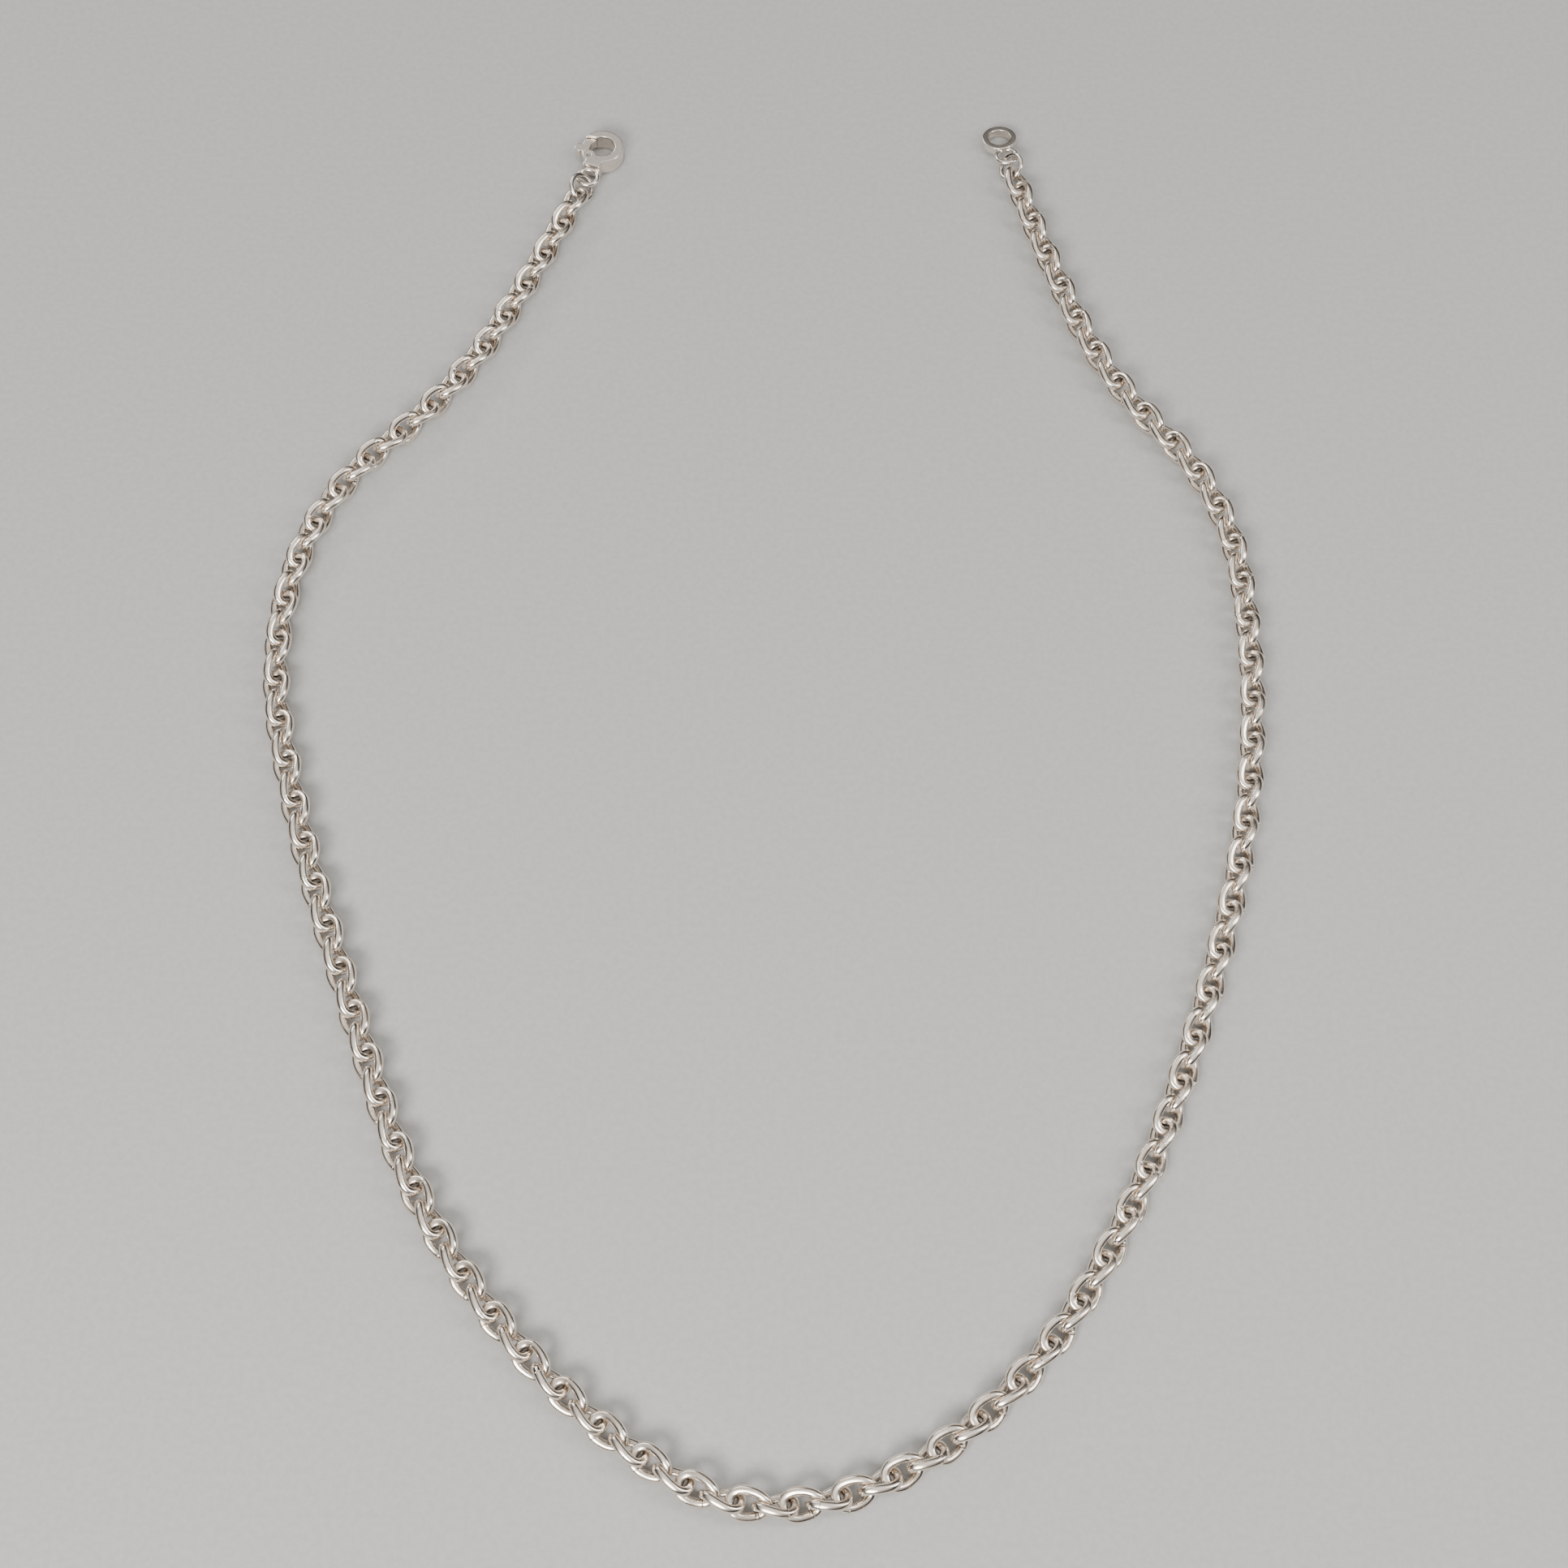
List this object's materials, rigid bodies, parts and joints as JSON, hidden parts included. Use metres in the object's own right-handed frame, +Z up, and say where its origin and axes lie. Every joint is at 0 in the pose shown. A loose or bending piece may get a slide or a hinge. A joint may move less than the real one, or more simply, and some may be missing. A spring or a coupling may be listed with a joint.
{
  "type": "chain necklace",
  "caption": "Thick oval cable chain necklace with lightly twisted links, laid open, with a sprung lobster clasp and an end tab on jump rings.",
  "frame": {"origin": "middle of the necklace's box, on the flat that it lies on", "axes": "+Z up, square to the flat; +X from the clasp's strand to the tab's strand; +Y from the middle link towards the two ends"},
  "size_m": [0.1794, 0.2726, 0.0046],
  "materials": {
    "links": "polished silver, lightly scratched",
    "fittings": "polished silver",
    "clasp": "polished silver, cast and tumbled",
    "clasp_steel": "drawn spring steel"
  },
  "bodies": {
    "links_middle": {"links_middle": "links"},
    "links_left_01": {"links_left_01": "links"},
    "links_left_02": {"links_left_02": "links"},
    "links_left_03": {"links_left_03": "links"},
    "links_left_04": {"links_left_04": "links"},
    "links_left_05": {"links_left_05": "links"},
    "links_left_06": {"links_left_06": "links"},
    "links_left_07": {"links_left_07": "links"},
    "links_left_08": {"links_left_08": "links"},
    "links_left_09": {"links_left_09": "links"},
    "links_left_10": {"links_left_10": "links"},
    "links_left_11": {"links_left_11": "links"},
    "links_left_12": {"links_left_12": "links"},
    "links_left_13": {"links_left_13": "links"},
    "links_left_14": {"links_left_14": "links"},
    "links_left_15": {"links_left_15": "links"},
    "links_left_16": {"links_left_16": "links"},
    "links_left_17": {"links_left_17": "links"},
    "links_left_18": {"links_left_18": "links"},
    "links_left_19": {"links_left_19": "links"},
    "links_left_20": {"links_left_20": "links"},
    "links_left_21": {"links_left_21": "links"},
    "links_left_22": {"links_left_22": "links"},
    "links_left_23": {"links_left_23": "links"},
    "links_left_24": {"links_left_24": "links"},
    "links_right_01": {"links_right_01": "links"},
    "links_right_02": {"links_right_02": "links"},
    "links_right_03": {"links_right_03": "links"},
    "links_right_04": {"links_right_04": "links"},
    "links_right_05": {"links_right_05": "links"},
    "links_right_06": {"links_right_06": "links"},
    "links_right_07": {"links_right_07": "links"},
    "links_right_08": {"links_right_08": "links"},
    "links_right_09": {"links_right_09": "links"},
    "links_right_10": {"links_right_10": "links"},
    "links_right_11": {"links_right_11": "links"},
    "links_right_12": {"links_right_12": "links"},
    "links_right_13": {"links_right_13": "links"},
    "links_right_14": {"links_right_14": "links"},
    "links_right_15": {"links_right_15": "links"},
    "links_right_16": {"links_right_16": "links"},
    "links_right_17": {"links_right_17": "links"},
    "links_right_18": {"links_right_18": "links"},
    "links_right_19": {"links_right_19": "links"},
    "links_right_20": {"links_right_20": "links"},
    "links_right_21": {"links_right_21": "links"},
    "links_right_22": {"links_right_22": "links"},
    "links_right_23": {"links_right_23": "links"},
    "links_right_24": {"links_right_24": "links"},
    "jump_ring_left": {"jump_ring_left": "fittings"},
    "clasp": {"clasp_body": "clasp", "clasp_pin": "clasp_steel", "clasp_spring": "clasp_steel"},
    "clasp_lever": {"clasp_lever": "clasp"},
    "jump_ring_right": {"jump_ring_right": "fittings"},
    "end_tab": {"end_tab": "fittings"}
  },
  "joints": [
    {"name": "clasp_lever_turn", "type": "hinge", "parent": "clasp", "child": "clasp_lever", "pos_m": [-0.03536, 0.12742, 0.00197], "axis": [-0.0192, -0.048, -0.9987], "range_deg": [0, 28], "stiffness_Nm_per_rad": 0.004, "springref_deg": -22.92, "deforming": ["clasp_spring"]},
    {"name": "clasp_swing", "type": "hinge", "parent": "jump_ring_left", "child": "clasp", "pos_m": [-0.0357, 0.12235, 0.00232], "axis": [0.0192, 0.048, 0.9987], "range_deg": [-40, 40]},
    {"name": "end_tab_swing", "type": "hinge", "parent": "jump_ring_right", "child": "end_tab", "pos_m": [0.04829, 0.12771, 0.00232], "axis": [-0.0423, 0.1612, 0.986], "range_deg": [-40, 40]},
    {"name": "jump_ring_left_swing", "type": "hinge", "parent": "links_left_24", "child": "jump_ring_left", "pos_m": [-0.03696, 0.11919, 0.00232], "axis": [0.6565, -0.2626, 0.7071], "range_deg": [-40, 40]},
    {"name": "jump_ring_right_swing", "type": "hinge", "parent": "links_right_24", "child": "jump_ring_right", "pos_m": [0.04915, 0.12442, 0.00232], "axis": [-0.684, -0.1794, 0.7071], "range_deg": [-40, 40]},
    {"name": "link_right_01_swing", "type": "hinge", "parent": "links_middle", "child": "links_right_01", "pos_m": [0.00937, -0.13351, 0.00232], "axis": [-0.1446, 0.6922, 0.7071], "range_deg": [-45, 45]},
    {"name": "link_left_01_swing", "type": "hinge", "parent": "links_middle", "child": "links_left_01", "pos_m": [-0.00476, -0.13336, 0.00232], "axis": [-0.183, -0.683, -0.7071], "range_deg": [-45, 45]},
    {"name": "link_right_02_swing", "type": "hinge", "parent": "links_right_01", "child": "links_right_02", "pos_m": [0.02097, -0.1295, 0.00232], "axis": [0.3221, -0.6295, 0.7071], "range_deg": [-45, 45]},
    {"name": "link_left_02_swing", "type": "hinge", "parent": "links_left_01", "child": "links_left_02", "pos_m": [-0.01594, -0.12833, 0.00232], "axis": [0.3789, 0.597, -0.7071], "range_deg": [-45, 45]},
    {"name": "link_right_03_swing", "type": "hinge", "parent": "links_right_02", "child": "links_right_03", "pos_m": [0.03146, -0.12309, 0.00232], "axis": [0.4314, -0.5602, -0.7071], "range_deg": [-45, 45]},
    {"name": "link_left_03_swing", "type": "hinge", "parent": "links_left_02", "child": "links_left_03", "pos_m": [-0.02597, -0.12122, 0.00232], "axis": [0.4507, 0.5448, 0.7071], "range_deg": [-45, 45]},
    {"name": "link_right_04_swing", "type": "hinge", "parent": "links_right_03", "child": "links_right_04", "pos_m": [0.04066, -0.11493, 0.00232], "axis": [-0.5129, 0.4867, -0.7071], "range_deg": [-45, 45]},
    {"name": "link_left_04_swing", "type": "hinge", "parent": "links_left_03", "child": "links_left_04", "pos_m": [-0.03506, -0.11293, 0.00232], "axis": [-0.5069, -0.493, 0.7071], "range_deg": [-45, 45]},
    {"name": "link_right_05_swing", "type": "hinge", "parent": "links_right_04", "child": "links_right_05", "pos_m": [0.04859, -0.10554, 0.00232], "axis": [-0.5764, 0.4096, 0.7071], "range_deg": [-45, 45]},
    {"name": "link_left_05_swing", "type": "hinge", "parent": "links_left_04", "child": "links_left_05", "pos_m": [-0.04326, -0.10378, 0.00232], "axis": [-0.5534, -0.4402, -0.7071], "range_deg": [-45, 45]},
    {"name": "link_right_06_swing", "type": "hinge", "parent": "links_right_05", "child": "links_right_06", "pos_m": [0.05522, -0.09518, 0.00232], "axis": [0.6118, -0.3546, 0.7071], "range_deg": [-45, 45]},
    {"name": "link_left_06_swing", "type": "hinge", "parent": "links_left_05", "child": "links_left_06", "pos_m": [-0.05051, -0.09384, 0.00232], "axis": [0.5957, 0.381, -0.7071], "range_deg": [-45, 45]},
    {"name": "link_right_07_swing", "type": "hinge", "parent": "links_right_06", "child": "links_right_07", "pos_m": [0.06109, -0.08437, 0.00232], "axis": [0.6345, -0.3122, -0.7071], "range_deg": [-45, 45]},
    {"name": "link_left_07_swing", "type": "hinge", "parent": "links_left_06", "child": "links_left_07", "pos_m": [-0.05669, -0.08321, 0.00232], "axis": [0.6323, 0.3166, 0.7071], "range_deg": [-45, 45]},
    {"name": "link_right_08_swing", "type": "hinge", "parent": "links_right_07", "child": "links_right_08", "pos_m": [0.06621, -0.07319, 0.00232], "axis": [-0.6542, 0.2683, -0.7071], "range_deg": [-45, 45]},
    {"name": "link_left_08_swing", "type": "hinge", "parent": "links_left_07", "child": "links_left_08", "pos_m": [-0.06171, -0.07199, 0.00232], "axis": [-0.6619, -0.2488, 0.7071], "range_deg": [-45, 45]},
    {"name": "link_right_09_swing", "type": "hinge", "parent": "links_right_08", "child": "links_right_09", "pos_m": [0.07072, -0.06175, 0.00232], "axis": [-0.6623, 0.2476, 0.7071], "range_deg": [-45, 45]},
    {"name": "link_left_09_swing", "type": "hinge", "parent": "links_left_08", "child": "links_left_09", "pos_m": [-0.06599, -0.06045, 0.00232], "axis": [-0.6632, -0.2453, -0.7071], "range_deg": [-45, 45]},
    {"name": "link_right_10_swing", "type": "hinge", "parent": "links_right_09", "child": "links_right_10", "pos_m": [0.07488, -0.05017, 0.00232], "axis": [0.6698, -0.2267, 0.7071], "range_deg": [-45, 45]},
    {"name": "link_left_10_swing", "type": "hinge", "parent": "links_left_09", "child": "links_left_10", "pos_m": [-0.07023, -0.04891, 0.00232], "axis": [0.6645, 0.2418, -0.7071], "range_deg": [-45, 45]},
    {"name": "link_right_11_swing", "type": "hinge", "parent": "links_right_10", "child": "links_right_11", "pos_m": [0.07867, -0.03847, 0.00232], "axis": [0.6766, -0.2056, -0.7071], "range_deg": [-45, 45]},
    {"name": "link_left_11_swing", "type": "hinge", "parent": "links_left_10", "child": "links_left_11", "pos_m": [-0.07441, -0.03734, 0.00232], "axis": [0.6657, 0.2384, 0.7071], "range_deg": [-45, 45]},
    {"name": "link_right_12_swing", "type": "hinge", "parent": "links_right_11", "child": "links_right_12", "pos_m": [0.08195, -0.02662, 0.00232], "axis": [-0.6881, 0.1627, -0.7071], "range_deg": [-45, 45]},
    {"name": "link_left_12_swing", "type": "hinge", "parent": "links_left_11", "child": "links_left_12", "pos_m": [-0.07839, -0.0257, 0.00232], "axis": [-0.674, -0.2138, 0.7071], "range_deg": [-45, 45]},
    {"name": "link_right_13_swing", "type": "hinge", "parent": "links_right_12", "child": "links_right_13", "pos_m": [0.08447, -0.01458, 0.00232], "axis": [-0.697, 0.1191, 0.7071], "range_deg": [-45, 45]},
    {"name": "link_left_13_swing", "type": "hinge", "parent": "links_left_12", "child": "links_left_13", "pos_m": [-0.08194, -0.01392, 0.00232], "axis": [-0.6814, -0.189, -0.7071], "range_deg": [-45, 45]},
    {"name": "link_right_14_swing", "type": "hinge", "parent": "links_right_13", "child": "links_right_14", "pos_m": [0.08623, -0.00241, 0.00232], "axis": [0.7031, -0.0751, 0.7071], "range_deg": [-45, 45]},
    {"name": "link_left_14_swing", "type": "hinge", "parent": "links_left_13", "child": "links_left_14", "pos_m": [-0.08504, -0.00202, 0.00232], "axis": [0.6879, 0.1639, -0.7071], "range_deg": [-45, 45]},
    {"name": "link_right_15_swing", "type": "hinge", "parent": "links_right_14", "child": "links_right_15", "pos_m": [0.0872, 0.00985, 0.00232], "axis": [0.7066, -0.0271, -0.7071], "range_deg": [-45, 45]},
    {"name": "link_left_15_swing", "type": "hinge", "parent": "links_left_14", "child": "links_left_15", "pos_m": [-0.08713, 0.01009, 0.00232], "axis": [0.7053, 0.0506, 0.7071], "range_deg": [-45, 45]},
    {"name": "link_right_16_swing", "type": "hinge", "parent": "links_right_15", "child": "links_right_16", "pos_m": [0.08733, 0.02215, 0.00232], "axis": [-0.7068, -0.021, -0.7071], "range_deg": [-45, 45]},
    {"name": "link_left_16_swing", "type": "hinge", "parent": "links_left_15", "child": "links_left_16", "pos_m": [-0.08719, 0.02238, 0.00232], "axis": [-0.7042, 0.0641, 0.7071], "range_deg": [-45, 45]},
    {"name": "link_right_17_swing", "type": "hinge", "parent": "links_right_16", "child": "links_right_17", "pos_m": [0.08662, 0.03443, 0.00232], "axis": [-0.6992, -0.1057, 0.7071], "range_deg": [-45, 45]},
    {"name": "link_left_17_swing", "type": "hinge", "parent": "links_left_16", "child": "links_left_17", "pos_m": [-0.08526, 0.03452, 0.00232], "axis": [-0.6807, 0.1913, -0.7071], "range_deg": [-45, 45]},
    {"name": "link_right_18_swing", "type": "hinge", "parent": "links_right_17", "child": "links_right_18", "pos_m": [0.08367, 0.04636, 0.00232], "axis": [0.6579, 0.2592, 0.7071], "range_deg": [-45, 45]},
    {"name": "link_left_18_swing", "type": "hinge", "parent": "links_left_17", "child": "links_left_18", "pos_m": [-0.08086, 0.04599, 0.00232], "axis": [0.6208, -0.3385, -0.7071], "range_deg": [-45, 45]},
    {"name": "link_right_19_swing", "type": "hinge", "parent": "links_right_18", "child": "links_right_19", "pos_m": [0.07813, 0.05732, 0.00232], "axis": [0.5834, 0.3995, -0.7071], "range_deg": [-45, 45]},
    {"name": "link_left_19_swing", "type": "hinge", "parent": "links_left_18", "child": "links_left_19", "pos_m": [-0.07401, 0.05619, 0.00232], "axis": [0.5296, -0.4685, 0.7071], "range_deg": [-45, 45]},
    {"name": "link_right_20_swing", "type": "hinge", "parent": "links_right_19", "child": "links_right_20", "pos_m": [0.07074, 0.06716, 0.00232], "axis": [-0.5883, -0.3923, -0.7071], "range_deg": [-45, 45]},
    {"name": "link_left_20_swing", "type": "hinge", "parent": "links_left_19", "child": "links_left_20", "pos_m": [-0.06546, 0.06504, 0.00232], "axis": [-0.5353, 0.462, 0.7071], "range_deg": [-45, 45]},
    {"name": "link_right_21_swing", "type": "hinge", "parent": "links_right_20", "child": "links_right_21", "pos_m": [0.06448, 0.07774, 0.00232], "axis": [-0.6345, -0.3122, 0.7071], "range_deg": [-45, 45]},
    {"name": "link_left_21_swing", "type": "hinge", "parent": "links_left_20", "child": "links_left_21", "pos_m": [-0.05794, 0.07477, 0.00232], "axis": [-0.591, 0.3882, -0.7071], "range_deg": [-45, 45]},
    {"name": "link_right_22_swing", "type": "hinge", "parent": "links_right_21", "child": "links_right_22", "pos_m": [0.05965, 0.08905, 0.00232], "axis": [0.6698, 0.2267, 0.7071], "range_deg": [-45, 45]},
    {"name": "link_left_22_swing", "type": "hinge", "parent": "links_left_21", "child": "links_left_22", "pos_m": [-0.05175, 0.08539, 0.00232], "axis": [0.6366, -0.3078, -0.7071], "range_deg": [-45, 45]},
    {"name": "link_right_23_swing", "type": "hinge", "parent": "links_right_22", "child": "links_right_23", "pos_m": [0.05586, 0.10075, 0.00232], "axis": [0.6755, 0.2091, -0.7071], "range_deg": [-45, 45]},
    {"name": "link_left_23_swing", "type": "hinge", "parent": "links_left_22", "child": "links_left_23", "pos_m": [-0.04655, 0.09654, 0.00232], "axis": [0.6445, -0.291, 0.7071], "range_deg": [-45, 45]},
    {"name": "link_right_24_swing", "type": "hinge", "parent": "links_right_23", "child": "links_right_24", "pos_m": [0.05235, 0.11254, 0.00232], "axis": [-0.6807, -0.1913, -0.7071], "range_deg": [-45, 45]},
    {"name": "link_left_24_swing", "type": "hinge", "parent": "links_left_23", "child": "links_left_24", "pos_m": [-0.04161, 0.1078, 0.00232], "axis": [-0.6519, 0.274, 0.7071], "range_deg": [-45, 45]}
  ]
}
